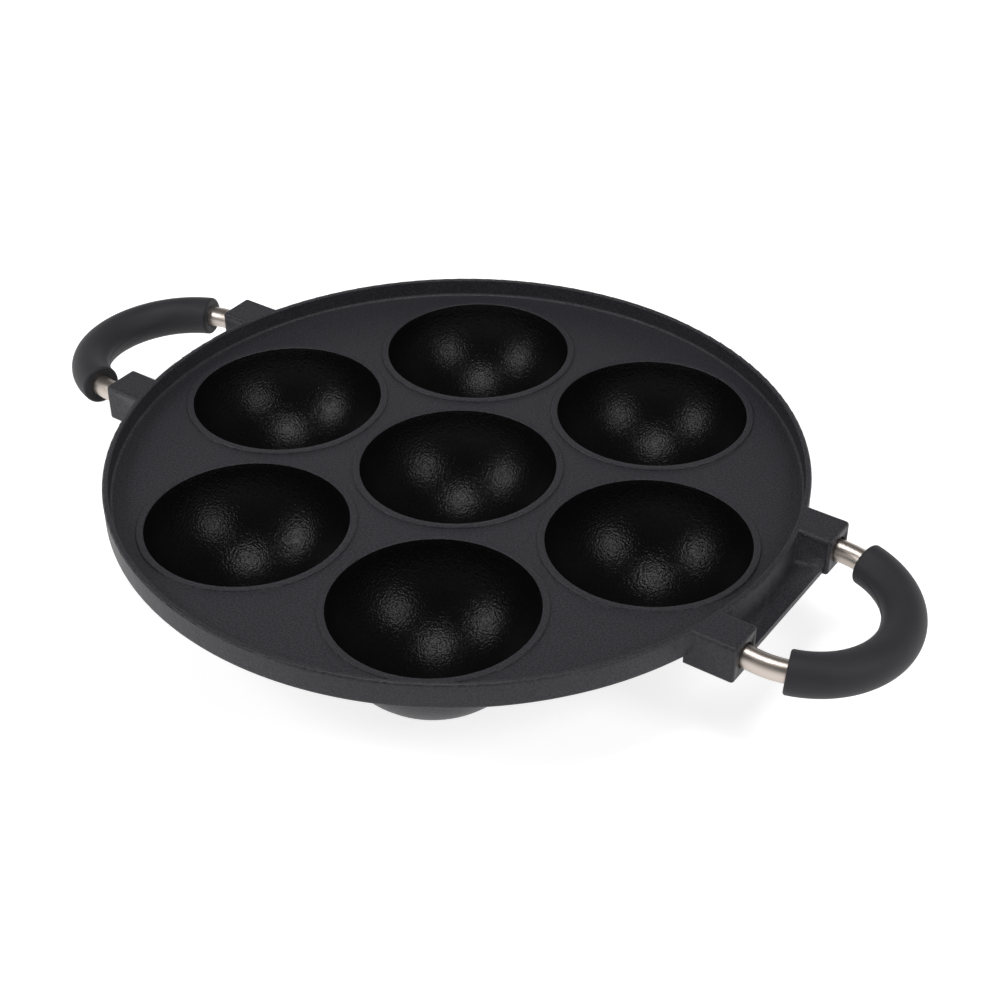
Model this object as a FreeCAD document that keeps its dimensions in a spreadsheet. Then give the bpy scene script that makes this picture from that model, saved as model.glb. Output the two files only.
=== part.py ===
import FreeCAD, Part
import Sketcher
import math
import os
from types import SimpleNamespace

# Takoyaki pan: one cast plate with seven round cups, and two drooping loop handles.
# Each handle is a bent steel rod, held in two blind bores by set screws, with a rubber
# sleeve over its bend. The origin is under the centre cup, on the face the pan rests on;
# +Z is up and +X runs through both handles. Lengths are millimetres, angles degrees.

SIZES = {
    # The cups: one in the middle and a ring of others round it
    "ring_cups": 6,
    "cup_pitch": 81.0,            # centre cup to ring cup
    "cup_height": 35.0,           # resting face to the top of the beads
    "mouth_radius": 36.0,
    "cup_depth": 32.4,
    "cup_wall": 2.2,              # at the deck's underside
    "foot_radius": 13.6,          # flat under each cup
    "bead_width": 2.65,
    "bead_height": 0.65,
    "bead_bevel": 0.3,
    # The plate and its upstanding rim
    "rim_radius": 127.5,
    "rim_width": 2.1,
    "rim_height": 6.3,            # above the beads
    "deck_thickness": 2.9,
    "rim_root_fillet": 1.1,
    "rim_inner_fillet": 0.5,
    "rim_outer_fillet": 0.7,
    "rim_foot_fillet": 1.2,
    # The lugs that hold the handles, and the web between the two on a side
    "lug_reach": 9.2,             # beyond the rim
    "lug_width": 15.0,
    "lug_height": 14.7,
    "lug_corner": 1.4,            # round the lug's section
    "lug_face_fillet": 1.2,
    "bore_rise": 7.5,             # bore axis above the lug's foot
    "bore_clearance": 1.0,        # on the diameter
    "bore_depth": 12.5,
    "web_setback": 1.6,           # behind the lug faces
    "web_thickness": 2.2,
    "web_lift": 1.2,              # above the lug's foot
    # The handle rods
    "rod_diameter": 8.0,
    "rod_end_gap": 0.5,           # rod end to the floor of its bore
    "rod_end_bevel": 0.6,
    "handle_span": 67.0,          # between the centre lines of the two legs
    "leg_straight": 15.2,         # rod end to the start of the bend
    "handle_droop": 3.5,
    # The sleeves
    "sleeve_diameter": 15.0,
    "sleeve_length": 86.8,        # along the centre line of the bend
    "sleeve_edge": 1.0,
    "right_sleeve_slide": 1.8,    # towards +Y, from the middle of the bend
    "left_sleeve_slide": 0.0,
    # The set screws, driven up through the lugs' feet
    "screw_diameter": 4.0,
    "screw_length": 5.0,
    "screw_recess": 0.3,
    "screw_setback": 8.0,         # behind the lug face
    "screw_tip_bevel": 0.5,
    "socket_width": 2.0,          # across the flats of the hexagon
    "socket_depth": 2.0,
    "dimple_clearance": 1.0,      # of the rod's dimple round the screw tip, on the diameter
    "tip_gap": 0.1,               # screw tip to the dimple's floor
}

OVERSHOOT = 3.0                   # how far a cutting profile runs past the solid


class Size:
    """A length that keeps the formula which ties it to the sheet beside its value."""

    def __init__(self, formula, value):
        self.formula = formula
        self.value = value

    def __add__(self, other):
        other = as_size(other)
        return Size(f"({self.formula} + {other.formula})", self.value + other.value)

    def __sub__(self, other):
        other = as_size(other)
        return Size(f"({self.formula} - {other.formula})", self.value - other.value)

    def __mul__(self, other):
        other = as_size(other)
        return Size(f"({self.formula} * {other.formula})", self.value * other.value)

    def __truediv__(self, other):
        other = as_size(other)
        return Size(f"({self.formula} / {other.formula})", self.value / other.value)

    def __neg__(self):
        return Size(f"(0 - {self.formula})", -self.value)


def as_size(number):
    """A plain number as a Size, and a Size as it is."""
    return number if isinstance(number, Size) else Size(repr(float(number)), float(number))


def root(size):
    """Square root of a Size."""
    return Size(f"sqrt({size.formula})", math.sqrt(size.value))


def cosine(size):
    """Cosine of a Size in degrees."""
    return Size(f"cos({size.formula} * 1 deg)", math.cos(math.radians(size.value)))


def tangent(size):
    """Tangent of a Size in degrees."""
    return Size(f"tan({size.formula} * 1 deg)", math.tan(math.radians(size.value)))


def chord(radius, across):
    """How far out a circle round the origin lies, at a distance across from its axis."""
    return root(radius * radius - across * across)


def write_sheet(doc):
    """Put every driving size in the document's sheet, and return them by name."""
    sheet = doc.addObject("Spreadsheet::Sheet", "Sizes")
    for row, (name, value) in enumerate(SIZES.items(), start=1):
        sheet.set(f"A{row}", name)
        sheet.set(f"B{row}", str(value))
        sheet.setAlias(f"B{row}", name)
    doc.recompute()
    return SimpleNamespace(**{name: Size(f"Sizes.{name}", value) for name, value in SIZES.items()})


def derive(s):
    """Places that follow from the driving sizes, shared by the pieces that meet there."""
    s.bead_top = s.cup_height
    s.deck_top = s.bead_top - s.bead_height
    s.deck_foot = s.deck_top - s.deck_thickness
    # The underside of a cup is a ball through the edge of its foot and the deck's underside
    s.shoulder = s.mouth_radius + s.cup_wall
    squares = s.shoulder * s.shoulder + s.deck_foot * s.deck_foot - s.foot_radius * s.foot_radius
    s.ball_centre = squares / (s.deck_foot * 2)
    s.ball_radius = root(s.foot_radius * s.foot_radius + s.ball_centre * s.ball_centre)
    s.rim_top = s.bead_top + s.rim_height
    s.rim_inside = s.rim_radius - s.rim_width
    s.rim_middle = s.rim_radius - s.rim_width / 2
    s.leg_offset = s.handle_span / 2
    s.lug_face = s.rim_radius + s.lug_reach
    s.lug_foot = s.rim_top - s.lug_height
    s.lug_near = s.leg_offset - s.lug_width / 2
    s.lug_far = s.leg_offset + s.lug_width / 2
    s.bore_axis = s.lug_foot + s.bore_rise
    s.bore_diameter = s.rod_diameter + s.bore_clearance
    s.web_foot = s.lug_foot + s.web_lift
    s.web_edge = s.lug_face - s.web_setback
    # A drooping rod rests on the lower lip of its bore, at the lug face
    s.rod_end = s.lug_face - s.bore_depth + s.rod_end_gap
    s.insertion = s.lug_face - s.rod_end
    rod_half_height = s.rod_diameter / (cosine(s.handle_droop) * 2)
    s.rod_at_face = s.bore_axis - s.bore_diameter / 2 + rod_half_height
    s.rod_end_height = s.rod_at_face + s.insertion * tangent(s.handle_droop)
    # The set screw stands in the lug's foot, with its tip in a dimple of the rod
    s.screw_axis = s.lug_face - s.screw_setback
    s.screw_foot = s.lug_foot + s.screw_recess
    s.screw_tip = s.screw_foot + s.screw_length
    return s


def new_body(doc, label):
    """A body whose Label names the piece."""
    body = doc.addObject("PartDesign::Body", label)
    body.Label = label
    return body


def origin_item(body, role):
    """One of the body's own origin planes or axes."""
    return next(item for item in body.Origin.OriginFeatures if item.Role == role)


def new_sketch(body, name, role, height=None):
    """A sketch on an origin plane of the body, or at a height above it."""
    sketch = body.newObject("Sketcher::SketchObject", name)
    sketch.AttachmentSupport = [(origin_item(body, role), "")]
    sketch.MapMode = "FlatFace"
    if height is not None:
        sketch.setExpression(".AttachmentOffset.Base.z", height.formula)
    return sketch


def vector(point):
    """The present place of a point that is given as two Sizes."""
    return FreeCAD.Vector(as_size(point[0]).value, as_size(point[1]).value, 0)


def bind(sketch, kind, *where, size):
    """Add a dimension to a sketch and tie it to the sheet."""
    size = as_size(size)
    index = sketch.addConstraint(Sketcher.Constraint(kind, *where, size.value))
    sketch.setExpression(f"Constraints[{index}]", size.formula)


def pin(sketch, element, end, point):
    """Fix the end of a sketch element by its two distances from the origin."""
    bind(sketch, "DistanceX", -1, 1, element, end, size=point[0])
    bind(sketch, "DistanceY", -1, 1, element, end, size=point[1])


def outline(sketch, points, bends=None):
    """A closed outline through points; bends names the sides that are arcs, by centre."""
    bends = bends or {}
    places = [vector(point) for point in points]
    for side, start in enumerate(places):
        finish = places[(side + 1) % len(places)]
        if side in bends:
            centre, middle = (vector(point) for point in bends[side])
            sketch.addGeometry(Part.Arc(start, middle, finish), False)
        else:
            sketch.addGeometry(Part.LineSegment(start, finish), False)
    for side, point in enumerate(points):
        before = (side - 1) % len(points)
        this_end = arc_end(sketch, side, places[side])
        last_end = arc_end(sketch, before, places[side])
        sketch.addConstraint(Sketcher.Constraint("Coincident", before, last_end, side, this_end))
        pin(sketch, side, this_end, point)
    for side, (centre, middle) in bends.items():
        span = sketch.Geometry[side]
        bind(sketch, "Radius", side, size=bend_radius(points[side], centre, span))


def arc_end(sketch, element, place):
    """1 or 2: which end of a sketch element lies at a place."""
    return 1 if sketch.getPoint(element, 1).distanceToPoint(place) < 1e-6 else 2


def bend_radius(point, centre, span):
    """Distance of an arc's end from its centre, as a Size."""
    across = as_size(point[0]) - centre[0]
    along = as_size(point[1]) - centre[1]
    return root(across * across + along * along)


def disc(sketch, centre, diameter):
    """A circle with its centre pinned."""
    circle = Part.Circle(vector(centre), FreeCAD.Vector(0, 0, 1), diameter.value / 2)
    element = sketch.addGeometry(circle, False)
    bind(sketch, "Diameter", element, size=diameter)
    pin(sketch, element, 3, centre)
    return element


def pad(body, name, sketch, length, reverse=False):
    """Material raised from a sketch."""
    feature = body.newObject("PartDesign::Pad", name)
    feature.Profile = sketch
    feature.setExpression("Length", length.formula)
    feature.Reversed = reverse
    return feature


def cut(doc, body, name, sketch, length, reverse=False):
    """Material taken away from a sketch, with proof that some was."""
    doc.recompute()
    before = body.Shape.Volume
    feature = body.newObject("PartDesign::Pocket", name)
    feature.Profile = sketch
    feature.setExpression("Length", length.formula)
    feature.Reversed = reverse
    doc.recompute()
    if body.Shape.Volume >= before:
        raise RuntimeError(f"{name} takes nothing away")
    return feature


def turn(body, name, sketch, groove=False, angle=None):
    """A full turn, or an angle, of a sketch about its own upright axis."""
    kind = "PartDesign::Groove" if groove else "PartDesign::Revolution"
    feature = body.newObject(kind, name)
    feature.Profile = sketch
    feature.ReferenceAxis = (sketch, ["V_Axis"])
    if angle is not None:
        feature.setExpression("Angle", angle.formula)
        feature.Midplane = True
    return feature


def repeat_round(body, name, features, count):
    """Copies of features, evenly round the upright axis."""
    pattern = body.newObject("PartDesign::PolarPattern", name)
    pattern.Originals = features
    pattern.Axis = (origin_item(body, "Z_Axis"), [""])
    pattern.Angle = 360
    pattern.setExpression("Occurrences", count.formula)
    body.Tip = pattern
    return pattern


def mirror_left(body, name, features):
    """Copies of features on the other side of the YZ plane."""
    mirrored = body.newObject("PartDesign::Mirrored", name)
    mirrored.Originals = features
    mirrored.MirrorPlane = (origin_item(body, "YZ_Plane"), [""])
    body.Tip = mirrored
    return mirrored


def edges_where(shape, test):
    """Names of the edges whose middle point and ends pass a test."""
    return [f"Edge{index}" for index, edge in enumerate(shape.Edges, start=1) if test(edge)]


def round_edges(doc, body, name, radius, test):
    """Fillet the edges of the body's present shape that pass a test."""
    doc.recompute()
    base = body.Tip
    names = edges_where(base.Shape, test)
    if not names:
        raise RuntimeError(f"{name} finds no edge")
    feature = body.newObject("PartDesign::Fillet", name)
    feature.Base = (base, names)
    feature.setExpression("Radius", radius.formula)
    doc.recompute()
    return feature


def near(value, target):
    """Whether two lengths are the same place."""
    return abs(value - target) < 1e-3


def level_edge(edge, height):
    """Whether an edge lies flat at a height."""
    box = edge.BoundBox
    return near(box.ZMin, height) and near(box.ZMax, height)


def is_ring(edge, radius, height):
    """Whether an edge is part of a circle round the pan's axis."""
    if not isinstance(edge.Curve, Part.Circle) or not level_edge(edge, height):
        return False
    centre = edge.Curve.Center
    return near(edge.Curve.Radius, radius) and near(math.hypot(centre.x, centre.y), 0)


# The casting


def cast_plate(doc, body, s):
    """The flat deck with its upstanding rim, turned in one profile."""
    profile = new_sketch(body, "plate_profile", "XZ_Plane")
    outline(profile, [
        (0, s.deck_foot),
        (s.rim_radius, s.deck_foot),
        (s.rim_radius, s.rim_top),
        (s.rim_inside, s.rim_top),
        (s.rim_inside, s.deck_top),
        (0, s.deck_top),
    ])
    turn(body, "plate", profile)
    radius = s.rim_radius.value
    round_edges(doc, body, "rim_outer_edge", s.rim_outer_fillet,
                lambda edge: is_ring(edge, radius, s.rim_top.value))
    round_edges(doc, body, "rim_foot_edge", s.rim_foot_fillet,
                lambda edge: is_ring(edge, radius, s.deck_foot.value))


def clear_tray(doc, body, s):
    """Cut the lugs back to the inside of the rim, then round its root and inner edge."""
    inside = s.rim_inside.value
    circle = new_sketch(body, "tray_circle", "XY_Plane", s.rim_top)
    disc(circle, (0, 0), s.rim_inside * 2)
    cut(doc, body, "tray", circle, s.rim_top - s.deck_top)
    round_edges(doc, body, "rim_root", s.rim_root_fillet,
                lambda edge: is_ring(edge, inside, s.deck_top.value))
    round_edges(doc, body, "rim_inner_edge", s.rim_inner_fillet,
                lambda edge: is_ring(edge, inside, s.rim_top.value))


def cup_wall(body, s, name, across):
    """The outside of one cup: its bead above the deck and its ball below, with a flat foot."""
    sketch = new_sketch(body, f"{name}_profile", "XZ_Plane")
    bead_radius = s.mouth_radius + s.bead_width
    slope = math.radians(45)
    middle = (s.ball_radius * math.sin(slope), s.ball_centre - s.ball_radius * math.cos(slope))
    outline(sketch, [
        (across, 0),
        (across + s.foot_radius, 0),
        (across + s.shoulder, s.deck_foot),
        (across + bead_radius, s.deck_top),
        (across + bead_radius, s.bead_top - s.bead_bevel),
        (across + bead_radius - s.bead_bevel, s.bead_top),
        (across, s.bead_top),
    ], {1: ((across, s.ball_centre), (across + middle[0], middle[1]))})
    return turn_about(body, name, sketch, across)


def cup_hollow(body, s, name, across):
    """The inside of one cup: a ball with a small bevel at the mouth."""
    sketch = new_sketch(body, f"{name}_profile", "XZ_Plane")
    lip = s.bead_top - s.bead_bevel
    depth = s.cup_depth - s.bead_bevel
    radius = (s.mouth_radius * s.mouth_radius + depth * depth) / (depth * 2)
    centre = (across, lip - depth + radius)
    slope = math.radians(45)
    middle = (across + radius * math.sin(slope), centre[1] - radius * math.cos(slope))
    outline(sketch, [
        (across, lip - depth),
        (across + s.mouth_radius, lip),
        (across + s.mouth_radius + s.bead_bevel, s.bead_top),
        (across + s.mouth_radius + s.bead_bevel, s.bead_top + OVERSHOOT),
        (across, s.bead_top + OVERSHOOT),
    ], {0: (centre, middle)})
    return turn_about(body, name, sketch, across, groove=True)


def turn_about(body, name, sketch, across, groove=False):
    """A full turn about an upright line of the sketch, at a distance across."""
    foot, head = vector((across, 0)), vector((across, OVERSHOOT))
    axis = sketch.addGeometry(Part.LineSegment(foot, head), True)
    pin(sketch, axis, 1, (across, 0))
    pin(sketch, axis, 2, (across, OVERSHOOT))
    kind = "PartDesign::Groove" if groove else "PartDesign::Revolution"
    feature = body.newObject(kind, name)
    feature.Profile = sketch
    feature.ReferenceAxis = (sketch, ["Axis0"])
    return feature


def lug_section(sketch, s, side):
    """A lug seen from its face: a rectangle with rounded corners."""
    low_y, high_y = sorted((s.lug_near * side, s.lug_far * side), key=lambda size: size.value)
    low_z, high_z = s.lug_foot, s.rim_top
    corner = s.lug_corner
    turned = corner * math.sqrt(0.5)
    left, right = low_y + corner, high_y - corner
    foot, head = low_z + corner, high_z - corner
    outline(sketch, [
        (left, low_z), (right, low_z),
        (high_y, foot), (high_y, head),
        (right, high_z), (left, high_z),
        (low_y, head), (low_y, foot),
    ], {1: ((right, foot), (right + turned, foot - turned)),
        3: ((right, head), (right + turned, head + turned)),
        5: ((left, head), (left - turned, head + turned)),
        7: ((left, foot), (left - turned, foot - turned))})


def cast_lugs(doc, body, s):
    """Two lugs and the web between them on the right, mirrored to the left."""
    features = []
    inner_end = chord(s.rim_inside, s.lug_far)
    for name, side in (("near_lug", -1), ("far_lug", 1)):
        sketch = new_sketch(body, f"{name}_section", "YZ_Plane", s.lug_face)
        lug_section(sketch, s, side)
        features.append(pad(body, name, sketch, s.lug_face - inner_end, reverse=True))
    web_end = s.lug_near + s.lug_corner
    sketch = new_sketch(body, "web_outline", "XY_Plane", s.web_foot)
    outline(sketch, [
        (chord(s.rim_middle, web_end), -web_end),
        (s.web_edge, -web_end),
        (s.web_edge, web_end),
        (chord(s.rim_middle, web_end), web_end),
    ], {3: ((0, 0), (s.rim_middle, 0))})
    features.append(pad(body, "web", sketch, s.web_thickness))
    skirt_inside = s.rim_radius - s.web_thickness
    sketch = new_sketch(body, "skirt_outline", "XY_Plane", s.web_foot)
    outline(sketch, [
        (chord(skirt_inside, web_end), -web_end),
        (chord(s.rim_radius, web_end), -web_end),
        (chord(s.rim_radius, web_end), web_end),
        (chord(skirt_inside, web_end), web_end),
    ], {1: ((0, 0), (s.rim_radius, 0)), 3: ((0, 0), (skirt_inside, 0))})
    features.append(pad(body, "skirt", sketch, s.deck_top - s.web_foot))
    mirror_left(body, "left_lugs", features)


def soften_lugs(doc, body, s):
    """Round the outline of every lug face."""
    face = s.lug_face.value

    def on_lug_face(edge):
        box = edge.BoundBox
        return near(abs(box.XMin), face) and near(abs(box.XMax), face)

    round_edges(doc, body, "lug_faces", s.lug_face_fillet, on_lug_face)


def drill_lugs(doc, body, s):
    """Blind bores for the rods in the lug faces, and tapped holes in the feet below them."""
    face = new_sketch(body, "bore_circles", "YZ_Plane", s.lug_face)
    for side in (-1, 1):
        disc(face, (s.leg_offset * side, s.bore_axis), s.bore_diameter)
    bores = cut(doc, body, "bores", face, s.bore_depth)
    foot = new_sketch(body, "screw_circles", "XY_Plane", s.lug_foot)
    for side in (-1, 1):
        disc(foot, (s.screw_axis, s.leg_offset * side), s.screw_diameter)
    holes = cut(doc, body, "screw_holes", foot, s.bore_rise, reverse=True)
    mirror_left(body, "left_holes", [bores, holes])


def make_pan(doc, s):
    """The whole casting, in the order that its pattern would be built up."""
    body = new_body(doc, "pan_body")
    cast_plate(doc, body, s)
    cast_lugs(doc, body, s)
    soften_lugs(doc, body, s)
    clear_tray(doc, body, s)
    centre = as_size(0)
    cup_wall(body, s, "centre_cup", centre)
    ring = cup_wall(body, s, "ring_cup", s.cup_pitch)
    repeat_round(body, "ring_of_cups", [ring], s.ring_cups)
    cup_hollow(body, s, "centre_hollow", centre)
    hollow = cup_hollow(body, s, "ring_hollow", s.cup_pitch)
    repeat_round(body, "ring_of_hollows", [hollow], s.ring_cups)
    drill_lugs(doc, body, s)
    return body


# The handles. Each is drawn level, from the rod's end, and then tilted and moved to its side


def place_handle_piece(body, s, side):
    """Tilt a level handle piece down from the rod end, on the right or turned to the left."""
    x = s.rod_end * side
    spin = "0" if side > 0 else "180"
    body.setExpression(
        "Placement",
        f"create(<<placement>>; create(<<vector>>; {x.formula}; 0; {s.rod_end_height.formula});"
        f" create(<<rotation>>; create(<<vector>>; 0; 0; 1); {spin} deg)"
        f" * create(<<rotation>>; create(<<vector>>; 0; 1; 0); {s.handle_droop.formula} * 1 deg))")


def make_rod(doc, s, label, side):
    """A round bar bent to a U, with a dimple under each end for its set screw."""
    body = new_body(doc, label)
    path = new_sketch(body, f"{label}_path", "XY_Plane")
    half, leg = s.leg_offset, s.leg_straight
    corners = [(0, -half), (leg, -half), (leg, half), (0, half)]
    places = [vector(point) for point in corners]
    path.addGeometry(Part.LineSegment(places[0], places[1]), False)
    path.addGeometry(Part.Arc(places[1], vector((leg + half, 0)), places[2]), False)
    path.addGeometry(Part.LineSegment(places[2], places[3]), False)
    path.addConstraint(Sketcher.Constraint("Coincident", 0, 2, 1, arc_end(path, 1, places[1])))
    path.addConstraint(Sketcher.Constraint("Coincident", 1, arc_end(path, 1, places[2]), 2, 1))
    for element, end, point in ((0, 1, 0), (0, 2, 1), (2, 1, 2), (2, 2, 3)):
        pin(path, element, end, corners[point])
    bind(path, "DistanceX", -1, 1, 1, 3, size=leg)
    section = new_sketch(body, f"{label}_section", "YZ_Plane")
    disc(section, (-half, 0), s.rod_diameter)
    rod = body.newObject("PartDesign::AdditivePipe", f"{label}_bar")
    rod.Profile = section
    rod.Spine = path
    doc.recompute()
    ends = [f"Edge{index}" for index, edge in enumerate(rod.Shape.Edges, start=1)
            if edge.BoundBox.XMax < 1e-3]
    bevel = body.newObject("PartDesign::Chamfer", f"{label}_ends")
    bevel.Base = (rod, ends)
    bevel.setExpression("Size", s.rod_end_bevel.formula)
    doc.recompute()
    dimple_rod(doc, body, s, label)
    place_handle_piece(body, s, side)
    return body


def dimple_rod(doc, body, s, label):
    """The flat-bottomed hole under each leg that the screw's tip stands in."""
    from_end = s.insertion - s.screw_setback
    tilt = s.handle_droop
    axis_there = s.rod_end_height - from_end * tangent(tilt)
    floor = (s.screw_tip + s.tip_gap - axis_there) * cosine(tilt)
    sketch = new_sketch(body, f"{label}_dimples", "XY_Plane", floor)
    centre = from_end / cosine(tilt)
    diameter = s.screw_diameter + s.dimple_clearance
    for turn_side in (-1, 1):
        disc(sketch, (centre, s.leg_offset * turn_side), diameter)
    cut(doc, body, f"{label}_dimple_cut", sketch, s.rod_diameter / 2 + OVERSHOOT)


def make_sleeve(doc, s, label, side, slide):
    """A soft tube over the bend, with a round section turned about the bend's centre."""
    body = new_body(doc, label)
    sketch = new_sketch(body, f"{label}_section", "XZ_Plane")
    centre = (s.leg_straight + s.leg_offset, 0)
    disc(sketch, centre, s.sleeve_diameter)
    disc(sketch, centre, s.rod_diameter)
    foot, head = (s.leg_straight, 0), (s.leg_straight, OVERSHOOT)
    axis = sketch.addGeometry(Part.LineSegment(vector(foot), vector(head)), True)
    pin(sketch, axis, 1, foot)
    pin(sketch, axis, 2, head)
    tube = body.newObject("PartDesign::Revolution", f"{label}_tube")
    tube.Profile = sketch
    tube.ReferenceAxis = (sketch, ["Axis0"])
    degrees = Size("180 / pi", math.degrees(1))
    half_angle = s.sleeve_length / (s.leg_offset * 2) * degrees
    shift = slide / s.leg_offset * degrees
    tube.Type = "TwoAngles"
    tube.setExpression("Angle", (half_angle + shift).formula)
    tube.setExpression("Angle2", (half_angle - shift).formula)
    doc.recompute()
    outer = s.sleeve_diameter.value / 2
    rims = edges_where(tube.Shape, lambda edge: isinstance(edge.Curve, Part.Circle)
                       and near(edge.Curve.Radius, outer) and abs(edge.Curve.Axis.z) < 0.5)
    soft = body.newObject("PartDesign::Fillet", f"{label}_edges")
    soft.Base = (tube, rims)
    soft.setExpression("Radius", s.sleeve_edge.formula)
    place_handle_piece(body, s, side)
    return body


# The set screws


def make_screw(doc, s, label, across, along):
    """A headless screw with a hexagon socket below and a bevelled tip above."""
    body = new_body(doc, label)
    sketch = new_sketch(body, f"{label}_circle", "XY_Plane")
    disc(sketch, (0, 0), s.screw_diameter)
    shank = pad(body, f"{label}_shank", sketch, s.screw_length)
    doc.recompute()
    tip = edges_where(shank.Shape, lambda edge: level_edge(edge, s.screw_length.value))
    bevel = body.newObject("PartDesign::Chamfer", f"{label}_tip")
    bevel.Base = (shank, tip)
    bevel.setExpression("Size", s.screw_tip_bevel.formula)
    doc.recompute()
    socket = new_sketch(body, f"{label}_hexagon", "XY_Plane")
    corner = s.socket_width / math.sqrt(3)
    turns = [math.radians(60 * step) for step in range(6)]
    outline(socket, [(corner * math.cos(angle), corner * math.sin(angle)) for angle in turns])
    cut(doc, body, f"{label}_socket", socket, s.socket_depth, reverse=True)
    body.setExpression(".Placement.Base.x", across.formula)
    body.setExpression(".Placement.Base.y", along.formula)
    body.setExpression(".Placement.Base.z", s.screw_foot.formula)
    return body


def make_screws(doc, s):
    """One screw under each of the four lugs."""
    screws = []
    for side_name, side in (("right", 1), ("left", -1)):
        for row_name, row in (("near", -1), ("far", 1)):
            label = f"{side_name}_{row_name}_set_screw"
            screws.append(make_screw(doc, s, label, s.screw_axis * side, s.leg_offset * row))
    return screws


def check_and_write(doc, pieces):
    """Stop on any failed object or bad solid, then write each piece to its own file."""
    for item in doc.Objects:
        if "Invalid" in item.State or "Error" in item.State:
            raise RuntimeError(f"{item.Name} failed: {item.State}")
    for piece in pieces:
        if piece.Shape.isNull() or not piece.Shape.isValid() or len(piece.Shape.Solids) != 1:
            raise RuntimeError(f"{piece.Label} is not one sound solid")
    os.makedirs("parts", exist_ok=True)
    for piece in pieces:
        piece.Shape.exportStep(f"parts/{piece.Label}.step")
        box = piece.Shape.BoundBox
        print(f"{piece.Label}: {piece.Shape.Volume:.0f} mm3, "
              f"x {box.XMin:.1f}..{box.XMax:.1f}, y {box.YMin:.1f}..{box.YMax:.1f}, "
              f"z {box.ZMin:.1f}..{box.ZMax:.1f}")


def main():
    doc = FreeCAD.newDocument("takoyaki_pan")
    s = derive(write_sheet(doc))
    pieces = [
        make_pan(doc, s),
        make_rod(doc, s, "right_handle_rod", 1),
        make_rod(doc, s, "left_handle_rod", -1),
        make_sleeve(doc, s, "right_handle_sleeve", 1, s.right_sleeve_slide),
        make_sleeve(doc, s, "left_handle_sleeve", -1, s.left_sleeve_slide),
    ]
    pieces += make_screws(doc, s)
    doc.recompute()
    check_and_write(doc, pieces)


main()
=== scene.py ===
# %% [markdown]
# # A takoyaki pan, dressed for its portrait
# The pan is one aluminium casting with seven round cups, sprayed with a black non-stick coating.
# A bent steel bar stands in two lugs on each side, and a rubber sleeve keeps it cool to hold.
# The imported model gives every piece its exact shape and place. This script gives each one the
# surface that the real one has, and then sets a camera and three soft lamps round them.

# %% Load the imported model
import math
import bmesh
import bpy
from mathutils import Matrix, Vector


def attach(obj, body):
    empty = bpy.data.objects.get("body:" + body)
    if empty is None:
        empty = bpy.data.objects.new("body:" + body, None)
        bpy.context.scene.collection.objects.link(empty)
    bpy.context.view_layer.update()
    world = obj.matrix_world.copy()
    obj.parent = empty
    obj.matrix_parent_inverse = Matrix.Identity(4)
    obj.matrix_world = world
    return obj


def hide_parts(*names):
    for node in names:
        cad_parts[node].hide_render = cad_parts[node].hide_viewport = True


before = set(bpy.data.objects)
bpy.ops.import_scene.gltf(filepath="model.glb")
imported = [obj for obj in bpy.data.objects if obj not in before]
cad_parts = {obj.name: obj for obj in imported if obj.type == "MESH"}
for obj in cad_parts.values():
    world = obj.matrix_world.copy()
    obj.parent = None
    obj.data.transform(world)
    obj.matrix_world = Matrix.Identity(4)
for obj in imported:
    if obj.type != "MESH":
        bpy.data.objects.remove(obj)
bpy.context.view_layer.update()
MM = 0.001
ROOT = "root"
SIDES = ((1, "right"), (-1, "left"))
print("pieces:", sorted(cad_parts))

# %% [markdown]
# Colours are picked from a screen, so they are written as sRGB hex values. Shaders work with
# linear light, so one function turns the first into the second.
# A node tree is easier to read when each node takes one line, so one more function adds a node
# with its settings and its links.

# %% Small helpers for materials
def linear(hex_colour):
    """An sRGB hex colour as linear RGBA."""
    channels = [int(hex_colour[i:i + 2], 16) / 255 for i in (1, 3, 5)]
    return [c / 12.92 if c <= 0.04045 else ((c + 0.055) / 1.055) ** 2.4 for c in channels] + [1.0]


def add_node(tree, kind, settings=None, links=None):
    """A node of one kind; settings fill its properties or sockets, links feed its sockets."""
    node = tree.nodes.new(kind)
    for name, value in (settings or {}).items():
        if hasattr(node, name) and name not in node.inputs:
            setattr(node, name, value)
        else:
            node.inputs[name].default_value = value
    for name, source in (links or {}).items():
        tree.links.new(source, node.inputs[name])
    return node


def new_material(name):
    """An empty material and its tree."""
    material = bpy.data.materials.new(name)
    material.use_nodes = True
    material.node_tree.nodes.clear()
    return material, material.node_tree


def show(tree, surface):
    """Send a surface to the output of its material."""
    add_node(tree, "ShaderNodeOutputMaterial", links={"Surface": surface})


print("middle grey on a screen, as linear light:", round(linear("#808080")[0], 3))

# %% [markdown]
# No real surface is the same all over. The finishes below share the ways in which they vary:
# noise with grains of a real size, and a value, a colour or a relief that follows the noise.

# %% What the finishes share
def noise(tree, vector, size_mm, detail, roughness):
    """Noise with grains of a real size, on a vector that is in metres."""
    node = add_node(tree, "ShaderNodeTexNoise",
                    {"Scale": 1 / (size_mm * MM), "Detail": detail, "Roughness": roughness},
                    {"Vector": vector})
    return node.outputs["Fac"]


def between(tree, factor, low, high):
    """A value that runs from low to high as the factor runs from 0 to 1."""
    node = add_node(tree, "ShaderNodeMapRange", {"To Min": low, "To Max": high},
                    {"Value": factor})
    return node.outputs["Result"]


def two_tones(tree, factor, colour, change, span):
    """A colour that turns from darker to lighter as the factor crosses the span."""
    ramp = add_node(tree, "ShaderNodeValToRGB", links={"Fac": factor})
    darker, lighter = ramp.color_ramp.elements
    for element, position, gain in ((darker, span[0], 1 - change),
                                    (lighter, span[1], 1 + change)):
        element.position = position
        element.color = [c * gain for c in linear(colour)[:3]] + [1]
    return ramp.outputs["Color"]


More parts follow.
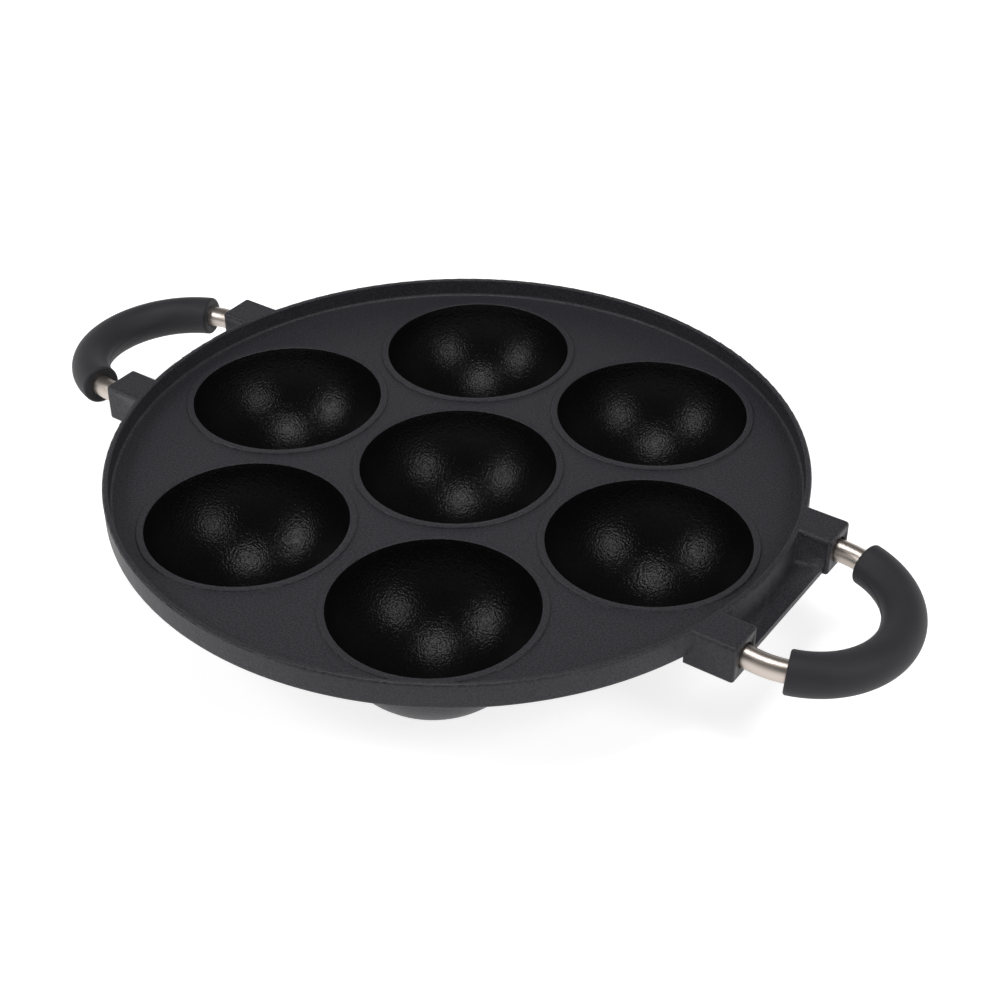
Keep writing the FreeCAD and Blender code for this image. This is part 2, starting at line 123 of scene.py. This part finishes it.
def relief(tree, height, depth_mm, strength=1.0):
    """A surface direction that follows a small relief."""
    node = add_node(tree, "ShaderNodeBump", {"Strength": strength, "Distance": depth_mm * MM},
                    {"Height": height})
    return node.outputs["Normal"]


print("noise scale for grains of 1 mm:", 1 / MM)

# %% [markdown]
# ## Non-stick coating
# The coating is sprayed on and baked. It dries with fine pimples like orange peel, because the
# droplets don't flow out flat, so the deck sparkles in tiny grains instead of shining. In the
# cups it is smoother, because the batter has to turn there, and its colour there is painted
# darker, as painted shade of the deep cups.
# A picture of the grain would repeat and blur. Noise at the real grain size stays sharp from
# any distance: one noise lifts the surface and speckles its colour lighter on the grains, partly
# the coating's own speckle and partly a painted glint, and a second one, in patches as wide as a
# finger, changes how dull it is.

# %% Sprayed non-stick coating
COATING_IOR = 1.36
PATCH_MM = 14.0


def sprayed_coating(name, colour, dullness, shine, grain_mm, relief_mm, speckle_and_painted_glint):
    """Black baked coating over a casting, with pimples grain_mm apart and relief_mm high."""
    material, tree = new_material(name)
    place = add_node(tree, "ShaderNodeTexCoord").outputs["Object"]
    grain = noise(tree, place, grain_mm, detail=1.5, roughness=0.5)
    patches = noise(tree, place, PATCH_MM, detail=2.0, roughness=0.5)
    # The base colour is lighter on the grain's tops: partly the coating's own speckle, partly a
    # painted glint.
    shader = add_node(tree, "ShaderNodeBsdfPrincipled",
                      {"IOR": COATING_IOR, "Specular IOR Level": shine},
                      {"Base Color": two_tones(tree, grain, colour, speckle_and_painted_glint, (0.36, 0.66)),
                       "Roughness": between(tree, patches, dullness - 0.04, dullness + 0.04),
                       "Normal": relief(tree, grain, relief_mm)})
    show(tree, shader.outputs["BSDF"])
    return material


# The coating of the deck, the rim and the lugs, with the coarse grain of a sprayed casting.
plate_coating = sprayed_coating("non-stick coating, sprayed", "#302F34", dullness=0.45,
                                shine=0.5, grain_mm=0.70, relief_mm=0.16, speckle_and_painted_glint=0.40)
# The same coating in the cups, where it is smoother and mirrors the lamps as soft spots; its
# colour is painted darker here, as painted shade of the deep cups.
cup_coating_with_painted_shade = sprayed_coating("non-stick coating, in the cups, with painted shade", "#0E0E0E", dullness=0.22,
                              shine=0.22, grain_mm=0.8, relief_mm=0.20, speckle_and_painted_glint=0.2)
print("coatings:", plate_coating.name, "/", cup_coating_with_painted_shade.name)

# %% [markdown]
# ## Brushed stainless steel
# The bar is drawn through a die and then brushed, which leaves fine lines along it. A metal has
# no colour of its own under the shine, so metallic is 1 and the base colour tints what it
# mirrors: stainless steel is a little warmer than white.
# The lines have to follow the bend, so they read the bar's own two measures, how far along and
# where on the round section, which the sweep below stores on the mesh. The measure along is
# squeezed, so that each grain of the noise is drawn out to a line.

# %% Brushed steel
LINE_SQUEEZE = 0.04


def brushed_steel(name, colour, dullness, line_mm):
    """Steel with drawn lines along the bar; line_mm is wider than real, so that it shows."""
    material, tree = new_material(name)
    along = add_node(tree, "ShaderNodeAttribute", {"attribute_name": "along"})
    section = add_node(tree, "ShaderNodeAttribute", {"attribute_name": "section"})
    across = add_node(tree, "ShaderNodeSeparateXYZ", links={"Vector": section.outputs["Vector"]})
    measures = add_node(tree, "ShaderNodeCombineXYZ",
                        links={"X": along.outputs["Fac"], "Y": across.outputs["X"],
                               "Z": across.outputs["Y"]})
    drawn_out = add_node(tree, "ShaderNodeMapping", {"Scale": (LINE_SQUEEZE, 1.0, 1.0)},
                         {"Vector": measures.outputs["Vector"]})
    lines = noise(tree, drawn_out.outputs["Vector"], line_mm, detail=2.0, roughness=0.55)
    shader = add_node(tree, "ShaderNodeBsdfPrincipled",
                      {"Base Color": linear(colour), "Metallic": 1.0},
                      {"Roughness": between(tree, lines, dullness - 0.07, dullness + 0.09),
                       "Normal": relief(tree, lines, 0.01, strength=0.5)})
    show(tree, shader.outputs["BSDF"])
    return material


# The bare stretches of the two handle bars, between the lugs and the sleeves.
bar_steel = brushed_steel("brushed stainless steel", "#C2B8B0", dullness=0.35, line_mm=0.25)
print("steel:", bar_steel.name)

# %% [markdown]
# ## Silicone rubber
# The sleeves are moulded silicone. It is matt, but a soft sheen shows where it turns away, and
# the mould leaves a skin with a very fine grain. Dust and handling make it slightly uneven, so
# one noise gives the skin, and one in wider patches changes both the shade and the dullness.

# %% Moulded silicone rubber
SILICONE_IOR = 1.41
HANDLED_MM = 9.0


def moulded_silicone(name, colour, dullness, grain_mm):
    """Matt rubber with a fine mould grain and a cloudy sheen."""
    material, tree = new_material(name)
    place = add_node(tree, "ShaderNodeTexCoord").outputs["Object"]
    skin = noise(tree, place, grain_mm, detail=2.0, roughness=0.6)
    handled = noise(tree, place, HANDLED_MM, detail=3.0, roughness=0.55)
    shader = add_node(tree, "ShaderNodeBsdfPrincipled",
                      {"IOR": SILICONE_IOR, "Sheen Weight": 0.06, "Sheen Roughness": 0.5},
                      {"Base Color": two_tones(tree, handled, colour, 0.12, (0.3, 0.7)),
                       "Roughness": between(tree, handled, dullness - 0.05, dullness + 0.05),
                       "Normal": relief(tree, skin, 0.03, strength=0.6)})
    show(tree, shader.outputs["BSDF"])
    return material


# The two grips.
sleeve_rubber = moulded_silicone("moulded silicone rubber", "#262529", dullness=0.6,
                                 grain_mm=0.35)
print("rubber:", sleeve_rubber.name)

# %% [markdown]
# ## The casting
# Seven cups lie in a hexagon: one in the middle and six round it, all one pitch apart. Their
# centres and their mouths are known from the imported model, so a face belongs to a cup when it
# lies inside a mouth, under the bead, and looks towards the cup's middle. A rule like this finds
# the same faces again when the pan is packed anew, which a list of face numbers would not.

# %% Where the cups are
CUP_PITCH = 81.0 * MM
MOUTH_RADIUS = 36.0 * MM
MOUTH_CHAMFER = 0.3 * MM
BEAD_TOP = 35.0 * MM
RING = [(CUP_PITCH * math.cos(math.radians(60 * i)), CUP_PITCH * math.sin(math.radians(60 * i)))
        for i in range(6)]
CUP_CENTRES = [(0.0, 0.0)] + RING


def in_a_cup(face):
    """Whether a face of the casting lies inside a cup, below its mouth."""
    middle = face.calc_center_median()
    if middle.z > BEAD_TOP - MOUTH_CHAMFER:
        return False
    for x, y in CUP_CENTRES:
        outwards = Vector((middle.x - x, middle.y - y, middle.z - BEAD_TOP))
        if math.hypot(outwards.x, outwards.y) < MOUTH_RADIUS:
            looks_in = face.normal.dot(outwards) < 0
            looks_up = face.normal.z > -0.05
            return looks_in and looks_up
    return False


def on_a_mouth(place):
    """Whether a place lies on the small chamfer round a mouth."""
    return place.z > BEAD_TOP - MOUTH_CHAMFER - 0.1 * MM and any(
        abs(math.hypot(place.x - x, place.y - y) - MOUTH_RADIUS - MOUTH_CHAMFER / 2) < 0.2 * MM
        for x, y in CUP_CENTRES)


print("cups at:", [(round(x, 4), round(y, 4)) for x, y in CUP_CENTRES])

# %% [markdown]
# The lower edge of the rim is cast as a small round, which draws the pan's outline. The packed
# model has long triangles there that cut the outline here and there. A finer mesh all over would
# cost much for one edge, so only these triangles are split, a few times over, and their new
# corners are laid on the true round.

# %% The round under the rim
FOOT_ROUND = {"across": 126.3 * MM, "up": 32.65 * MM, "radius": 1.2 * MM}
# How far off the round a packed corner may lie, and how far inside the place where it starts.
SLACK = 0.03 * MM
INNER_SLACK = 0.08 * MM
LONGEST_EDGE = 1.2 * MM
SPLITS = 3


def refine_foot(work):
    """Split the long triangles on the round under the rim, and lay the new corners on it."""
    def on_round(vertex):
        across = math.hypot(vertex.co.x, vertex.co.y) - FOOT_ROUND["across"]
        rise = vertex.co.z - FOOT_ROUND["up"]
        near = math.hypot(across, rise) < FOOT_ROUND["radius"] + SLACK
        return near and across > -INNER_SLACK and rise < SLACK

    for _ in range(SPLITS):
        corners = {vertex for vertex in work.verts if on_round(vertex)}
        long_edges = [edge for edge in work.edges if edge.calc_length() > LONGEST_EDGE
                      and edge.verts[0] in corners and edge.verts[1] in corners]
        made = bmesh.ops.subdivide_edges(work, edges=long_edges, cuts=1)
        for vertex in made["geom_inner"]:
            if not isinstance(vertex, bmesh.types.BMVert):
                continue
            flat = Vector((vertex.co.x, vertex.co.y))
            arm = Vector((flat.length - FOOT_ROUND["across"], vertex.co.z - FOOT_ROUND["up"]))
            arm = arm.normalized() * FOOT_ROUND["radius"]
            flat = flat.normalized() * (FOOT_ROUND["across"] + max(arm.x, 0.0))
            vertex.co = (flat.x, flat.y, FOOT_ROUND["up"] + min(arm.y, 0.0))
        bmesh.ops.triangulate(work, faces=[face for face in work.faces if len(face.verts) > 3])
    print("faces of the casting:", len(work.faces))


print("middle of the round, mm:", round(FOOT_ROUND["across"] / MM, 2), "out and",
      round(FOOT_ROUND["up"] / MM, 2), "up")

# %% [markdown]
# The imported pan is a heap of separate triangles, so light would show each one. A copy of it is
# merged at its shared corners and shaded smooth, with the real edges kept sharp. The flat deck
# meets the rim in a round, and there the big flat faces should win, so a Weighted Normal
# modifier gives each corner the direction of its largest faces.

# %% Mend, merge and shade
MERGE_DISTANCE = 0.001 * MM


def merged_copy(node, name, sharp_degrees, mend=None):
    """A smooth copy of a CAD node's triangles, mended if asked, with its real edges kept sharp."""
    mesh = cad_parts[node].data.copy()
    mesh.name = name
    mesh.materials.clear()
    work = bmesh.new()
    work.from_mesh(mesh)
    bmesh.ops.remove_doubles(work, verts=work.verts, dist=MERGE_DISTANCE)
    if mend:
        mend(work)
    for face in work.faces:
        face.smooth = True
    work.to_mesh(mesh)
    work.free()
    mesh.set_sharp_from_angle(angle=math.radians(sharp_degrees))
    piece = bpy.data.objects.new(name, mesh)
    bpy.context.scene.collection.objects.link(piece)
    return piece


def even_shading(piece):
    """Let large flat faces keep their own direction where they meet a round."""
    weighted = piece.modifiers.new("weighted normals", "WEIGHTED_NORMAL")
    weighted.mode = "FACE_AREA"
    weighted.keep_sharp = True


casting = merged_copy("pan_body", "pan_casting", sharp_degrees=28, mend=refine_foot)

# %% [markdown]
# The chamfer round each mouth is only 0.3 mm wide, and on the real pan the coating rounds it, so
# its edges are shaded smooth. Then the casting gets its two coatings, one in the cups and the
# other on all the rest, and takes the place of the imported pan.

# %% Dress the casting
def soften_mouths(mesh):
    """Shade the chamfer round every mouth as a round, so that it draws a thin bright line."""
    count = 0
    for edge in mesh.edges:
        one, other = (mesh.vertices[index].co for index in edge.vertices)
        if on_a_mouth((one + other) / 2):
            edge.use_edge_sharp = False
            count += 1
    print("softened mouth edges:", count)


soften_mouths(casting.data)
casting.data.materials.append(plate_coating)
casting.data.materials.append(cup_coating_with_painted_shade)
faces = bmesh.new()
faces.from_mesh(casting.data)
# Faces in the cups take the coating whose colour is painted darker, as painted shade.
for face in faces.faces:
    face.material_index = 1 if in_a_cup(face) else 0
print("faces in the cups:", sum(face.material_index for face in faces.faces))
faces.to_mesh(casting.data)
faces.free()
even_shading(casting)
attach(casting, ROOT)
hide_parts("pan_body")

# %% [markdown]
# ## The handles
# Each handle is a round bar bent to a U: a straight leg, half a circle and a straight leg again.
# It droops a little, because its ends have some play in the bores. The bar, and the mould's line
# on the sleeve over it, follow the same path, so the path is written once, as a place for every
# distance along it.

# %% The path of a handle
HANDLE = {
    "rod end": 124.7 * MM,
    "rod end height": 34.3414 * MM,
    "half span": 33.5 * MM,
    "straight leg": 15.2 * MM,
    "droop": math.radians(3.5),
    "rod radius": 4.0 * MM,
    "sleeve radius": 7.5 * MM,
    "sleeve length": 86.8 * MM,
}
BEND_LENGTH = math.pi * HANDLE["half span"]
PATH_LENGTH = BEND_LENGTH + 2 * HANDLE["straight leg"]


def path_point(distance, side, inset=0.0):
    """The place on a handle's centre line, from the end of its first leg; side is 1 or -1.

    With an inset the place lies that far inside the bend, in the plane of the handle.
    """
    leg, half = HANDLE["straight leg"], HANDLE["half span"]
    if distance < leg:
        flat = Vector((distance, inset - half, 0))
    elif distance > leg + BEND_LENGTH:
        flat = Vector((PATH_LENGTH - distance, half - inset, 0))
    else:
        angle = (distance - leg) / half
        arm = half - inset
        flat = Vector((leg + arm * math.sin(angle), -arm * math.cos(angle), 0))
    reach = flat.x * math.cos(HANDLE["droop"])
    drop = flat.x * math.sin(HANDLE["droop"])
    x = HANDLE["rod end"] + reach
    return Vector((side * x, side * flat.y, HANDLE["rod end height"] - drop))


def path_points(start, length, steps, side, inset=0.0):
    """Evenly spaced places on a stretch of a handle's path."""
    return [path_point(start + length * step / steps, side, inset) for step in range(steps + 1)]


print("bar length along its centre line, mm:", round(PATH_LENGTH / MM, 1))

# %% [markdown]
# A bar like this is made by drawing a round section and bending it, and a Geometry Nodes tree
# can do the same: it turns a chain of points into a curve, gives it a round section and closes
# its ends. Its inputs are the path, the radius and the number of sides of the section, and the
# finish. Two stored measures ride along: "along" is a length on the path, and "section" is a
# place on the round section. Noise on both together has no seam, which noise on an unrolled
# angle has.

# %% Geometry Nodes: a round section swept along a path
def sweep_tree():
    """Path points in, a round solid out, with its measures stored for patterns."""
    tree = bpy.data.node_groups.new("round section along a path", "GeometryNodeTree")
    sockets = tree.interface
    sockets.new_socket("Path", in_out="INPUT", socket_type="NodeSocketGeometry")
    sockets.new_socket("Section Radius", in_out="INPUT", socket_type="NodeSocketFloat")
    sockets.new_socket("Section Sides", in_out="INPUT", socket_type="NodeSocketInt")
    sockets.new_socket("Finish", in_out="INPUT", socket_type="NodeSocketMaterial")
    sockets.new_socket("Solid", in_out="OUTPUT", socket_type="NodeSocketGeometry")
    given = add_node(tree, "NodeGroupInput")
    curve = add_node(tree, "GeometryNodeMeshToCurve", links={"Mesh": given.outputs["Path"]})
    length = add_node(tree, "GeometryNodeSplineParameter")
    measured = add_node(tree, "GeometryNodeStoreNamedAttribute",
                        {"data_type": "FLOAT", "domain": "POINT", "Name": "along"},
                        {"Geometry": curve.outputs["Curve"], "Value": length.outputs["Length"]})
    circle = add_node(tree, "GeometryNodeCurvePrimitiveCircle",
                      links={"Resolution": given.outputs["Section Sides"],
                             "Radius": given.outputs["Section Radius"]})
    place = add_node(tree, "GeometryNodeInputPosition")
    section = add_node(tree, "GeometryNodeStoreNamedAttribute",
                       {"data_type": "FLOAT_VECTOR", "domain": "POINT", "Name": "section"},
                       {"Geometry": circle.outputs["Curve"], "Value": place.outputs["Position"]})
    solid = add_node(tree, "GeometryNodeCurveToMesh", {"Fill Caps": True},
                     {"Curve": measured.outputs["Geometry"],
                      "Profile Curve": section.outputs["Geometry"]})
    real = add_node(tree, "GeometryNodeRealizeInstances",
                    links={"Geometry": solid.outputs["Mesh"]})
    finished = add_node(tree, "GeometryNodeSetMaterial",
                        links={"Geometry": real.outputs["Geometry"],
                               "Material": given.outputs["Finish"]})
    add_node(tree, "NodeGroupOutput", links={"Solid": finished.outputs["Geometry"]})
    return tree


SWEEP = sweep_tree()
print("inputs of the sweep:", [item.name for item in SWEEP.interface.items_tree
                               if item.in_out == "INPUT"])

# %% [markdown]
# The tree works as a modifier on a chain of points. A finished piece has to be a plain mesh, so
# the result is taken out of the modifier, which is then removed. Its closed ends meet the side
# at a sharp edge, as a sawn bar's do.

# %% Sweep a piece
SHARP_RIM_DEGREES = 40


def sweep(name, points, radius, sides, finish):
    """A piece swept along points, as a plain smooth mesh."""
    chain = bpy.data.meshes.new(name)
    chain.from_pydata(points, [(i, i + 1) for i in range(len(points) - 1)], [])
    piece = bpy.data.objects.new(name, chain)
    bpy.context.scene.collection.objects.link(piece)
    modifier = piece.modifiers.new("sweep", "NODES")
    modifier.node_group = SWEEP
    given = {"Section Radius": radius, "Section Sides": sides, "Finish": finish}
    for item in SWEEP.interface.items_tree:
        if item.name in given:
            modifier[item.identifier] = given[item.name]
    ready = piece.evaluated_get(bpy.context.evaluated_depsgraph_get())
    mesh = bpy.data.meshes.new_from_object(ready)
    piece.modifiers.remove(modifier)
    piece.data = mesh
    mesh.shade_smooth()
    mesh.set_sharp_from_angle(angle=math.radians(SHARP_RIM_DEGREES))
    print(name, "faces:", len(mesh.polygons))
    return piece


print("ends of a bar are sharp beyond", SHARP_RIM_DEGREES, "degrees")

# %% [markdown]
# ## The bars
# The bars are bent from 8 mm stainless rod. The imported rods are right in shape, but they carry
# no measure along the bend, which the brushed lines need. So each one is swept again, with
# enough steps that the bend has no corners in its outline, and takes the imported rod's place.

# %% The two bars
BAR_STEPS = 180
BAR_SIDES = 64
for side, word in SIDES:
    points = path_points(0.0, PATH_LENGTH, BAR_STEPS, side)
    bar = sweep(f"{word}_handle_bar", points, HANDLE["rod radius"], BAR_SIDES, bar_steel)
    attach(bar, ROOT)
    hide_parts(f"{word}_handle_rod")

# %% [markdown]
# ## Sleeves
# A sleeve is a moulded rubber tube, pushed over the bar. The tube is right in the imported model,
# so it could be used as it is. It only needs merging and a smooth skin, so that light doesn't
# show its triangles.

# %% The two sleeves
for _, word in SIDES:
    sleeve = merged_copy(f"{word}_handle_sleeve", f"{word}_grip_sleeve", sharp_degrees=50)
    sleeve.data.materials.append(sleeve_rubber)
    even_shading(sleeve)
    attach(sleeve, ROOT)
    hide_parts(f"{word}_handle_sleeve")
    print(sleeve.name, "faces:", len(sleeve.data.polygons))

# %% [markdown]
# The two halves of a sleeve's mould leave a thin line along the inside of the bend. It is a bead
# of a few tenths of a millimetre, so it is swept with the same tree instead of being painted,
# and it catches light as a raised line does. The right sleeve sits a little further along its
# bar than the left one, and its line goes with it.

# %% The mould's line along the inside of each sleeve
LINE_RADIUS = 0.14 * MM
LINE_STEPS = 120
LINE_SIDES = 12
LINE_LENGTH = HANDLE["sleeve length"] - 4 * MM
SLIDE = {"right": 1.8 * MM, "left": 0.0}
for side, word in SIDES:
    start = (PATH_LENGTH - LINE_LENGTH) / 2 + SLIDE[word]
    points = path_points(start, LINE_LENGTH, LINE_STEPS, side, HANDLE["sleeve radius"])
    line = sweep(f"{word}_mould_line", points, LINE_RADIUS, LINE_SIDES, sleeve_rubber)
    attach(line, ROOT)

# %% [markdown]
# ## Set screws
# The screws under the lugs are blackened steel. They are small and sit in shadow, so the packed
# solids serve as they are, and only get a dark, slightly oily finish: a noise of about a
# millimetre makes it duller in some spots than in others.

# %% Blackened steel
def blackened_steel(name, colour, dullness):
    """Dark steel with a cloudy oil film."""
    material, tree = new_material(name)
    place = add_node(tree, "ShaderNodeTexCoord").outputs["Object"]
    film = noise(tree, place, 1.2, detail=3.0, roughness=0.6)
    shader = add_node(tree, "ShaderNodeBsdfPrincipled",
                      {"Base Color": linear(colour), "Metallic": 1.0},
                      {"Roughness": between(tree, film, dullness - 0.1, dullness + 0.1)})
    show(tree, shader.outputs["BSDF"])
    return material


# The four headless screws.
screw_steel = blackened_steel("blackened steel", "#5A5A5C", dullness=0.4)
for name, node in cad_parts.items():
    if name.endswith("set_screw"):
        node.data.materials.clear()
        node.data.materials.append(screw_steel)
        print("finished", name)

# %% [markdown]
# ## The camera
# The photograph was taken with a long lens from a little over half a metre, 36 degrees above the
# table. The mouths of the seven cups and the rim give the lens and the place: they all have to
# fall on their own ellipses in the picture.

# %% Camera
LENS_MM = 64.9
SENSOR_MM = 36.0
CAMERA_PLACE = Vector((320.88, -434.28, 412.84)) * MM
CAMERA_TARGET = Vector((25.34, -9.65, 35.0)) * MM
CAMERA_ROLL = math.radians(-0.34)
camera_data = bpy.data.cameras.new("camera")
camera_data.lens = LENS_MM
camera_data.sensor_width = SENSOR_MM
camera_data.clip_start = 0.01
camera = bpy.data.objects.new("camera", camera_data)
bpy.context.scene.collection.objects.link(camera)
aimed = (CAMERA_TARGET - CAMERA_PLACE).to_track_quat("-Z", "Y").to_matrix().to_4x4()
rolled = Matrix.Rotation(CAMERA_ROLL, 4, "Z")
camera.matrix_world = Matrix.Translation(CAMERA_PLACE) @ aimed @ rolled
bpy.context.scene.camera = camera
print("distance to target, m:", round((CAMERA_TARGET - CAMERA_PLACE).length, 4))

# %% [markdown]
# ## Light
# Every cup mirrors the same three small lamps, and where they show in the cups tells where they
# stand: one on the right, one at the front left and one straight above. A lamp in a soft box is
# a bright square, so each is a square area light, aimed at the pan.

# %% Three lamps
# Each lamp's place and width in metres, and its power in watts.
LAMPS = {
    "right lamp": ((0.769, -0.013, 0.626), 0.34, 2.5),
    "left lamp": ((-0.488, -0.507, 0.539), 0.30, 2.3),
    "top lamp": ((-0.015, -0.041, 1.033), 0.38, 3.8),
}
LAMP_TARGET = Vector((0, 0, 0.03))
for name, (place, width, power) in LAMPS.items():
    lamp_data = bpy.data.lights.new(name, "AREA")
    lamp_data.shape = "SQUARE"
    lamp_data.size = width
    lamp_data.energy = power
    lamp = bpy.data.objects.new(name, lamp_data)
    bpy.context.scene.collection.objects.link(lamp)
    lamp.location = place
    lamp.rotation_euler = (LAMP_TARGET - Vector(place)).to_track_quat("-Z", "Y").to_euler()
    print(name, "at", place, "power in W:", power)

# %% [markdown]
# Between the three spots the cups are black, and yet the flat deck is grey: the studio has pale
# walls and a dark ceiling, because the deck mirrors the far wall and the cups mirror the ceiling.
# So the world is a gradient over height. The camera and clear things see white all round, and
# mirrors see the white backdrop up to the height where the ceiling begins.

# %% The studio's walls and ceiling
# Brightness of the walls and the ceiling, and the heights (the sine of the angle above the
# horizon) between which the first turns into the second, and the backdrop ends.
WALLS, CEILING = 0.5, 0.08
WALL_TOP = (0.2, 0.6)
BACKDROP_TOP = (0.2, 0.35)


def larger(tree, one, other):
    """The larger of two values in a node tree."""
    node = add_node(tree, "ShaderNodeMath", {"operation": "MAXIMUM"}, {0: one, 1: other})
    return node.outputs["Value"]


world = bpy.data.worlds.new("studio")
world.use_nodes = True
tree = world.node_tree
tree.nodes.clear()
way = add_node(tree, "ShaderNodeTexCoord")
height = add_node(tree, "ShaderNodeSeparateXYZ", links={"Vector": way.outputs["Generated"]})
room = add_node(tree, "ShaderNodeMapRange",
                {"interpolation_type": "SMOOTHSTEP", "From Min": WALL_TOP[0],
                 "From Max": WALL_TOP[1], "To Min": WALLS, "To Max": CEILING},
                {"Value": height.outputs["Z"]})
low = add_node(tree, "ShaderNodeMapRange",
               {"From Min": BACKDROP_TOP[0], "From Max": BACKDROP_TOP[1],
                "To Min": 1.0, "To Max": 0.0},
               {"Value": height.outputs["Z"]})
path = add_node(tree, "ShaderNodeLightPath")
mirrored = add_node(tree, "ShaderNodeMath", {"operation": "MULTIPLY"},
                    {0: low.outputs["Result"], 1: path.outputs["Is Glossy Ray"]})
seen = larger(tree, path.outputs["Is Camera Ray"], path.outputs["Is Transmission Ray"])
backdrop = larger(tree, mirrored.outputs["Value"], seen)
studio = add_node(tree, "ShaderNodeBackground", {"Color": (1, 1, 1, 1)},
                  {"Strength": larger(tree, room.outputs["Result"], backdrop)})
add_node(tree, "ShaderNodeOutputWorld", links={"Surface": studio.outputs["Background"]})
bpy.context.scene.world = world
print("world from", WALLS, "at the walls to", CEILING, "at the ceiling")

# %% [markdown]
# ## The floor
# The pan stands on a large sheet of matt white paper. The paper glows a little for the camera
# and in mirrors, so the picture's ground is white and the pan's shadow stays on it. It lies a
# tenth of a millimetre under the feet, so that the two don't share a plane, and from below it is
# clear, so that the underside of the pan can be looked at.

# %% The floor
FLOOR_RADIUS = 9.0
FLOOR_DROP = 0.1 * MM
FLOOR_CORNERS = 96
PAPER_GREY = (0.62, 0.62, 0.62, 1)
PAPER_GLOW = 0.80
corners = [(FLOOR_RADIUS * math.cos(math.tau * i / FLOOR_CORNERS),
            FLOOR_RADIUS * math.sin(math.tau * i / FLOOR_CORNERS), -FLOOR_DROP)
           for i in range(FLOOR_CORNERS)]
floor_mesh = bpy.data.meshes.new("floor")
floor_mesh.from_pydata(corners, [], [tuple(range(FLOOR_CORNERS))])
floor = bpy.data.objects.new("floor", floor_mesh)
bpy.context.scene.collection.objects.link(floor)
# The paper: a matt front that glows for the camera and in mirrors, and a clear back.
paper, tree = new_material("matt white paper")
path = add_node(tree, "ShaderNodeLightPath")
seen = larger(tree, path.outputs["Is Camera Ray"], path.outputs["Is Transmission Ray"])
matt = add_node(tree, "ShaderNodeBsdfDiffuse", {"Color": PAPER_GREY})
glow = add_node(tree, "ShaderNodeEmission", {"Color": (1, 1, 1, 1)},
                {"Strength": between(tree, larger(tree, path.outputs["Is Glossy Ray"], seen),
                                     0.0, PAPER_GLOW)})
front = add_node(tree, "ShaderNodeAddShader",
                 links={0: matt.outputs["BSDF"], 1: glow.outputs["Emission"]})
clear = add_node(tree, "ShaderNodeBsdfTransparent")
facing = add_node(tree, "ShaderNodeNewGeometry")
sheet = add_node(tree, "ShaderNodeMixShader",
                 links={0: facing.outputs["Backfacing"], 1: front.outputs["Shader"],
                        2: clear.outputs["BSDF"]})
show(tree, sheet.outputs["Shader"])
floor_mesh.materials.append(paper)
bpy.context.scene.view_settings.view_transform = "Standard"
print("floor radius, m:", FLOOR_RADIUS)

# %% [markdown]
# ## Finish
# The scene is brought up to date at the end.

# %% Finish
bpy.context.view_layer.update()
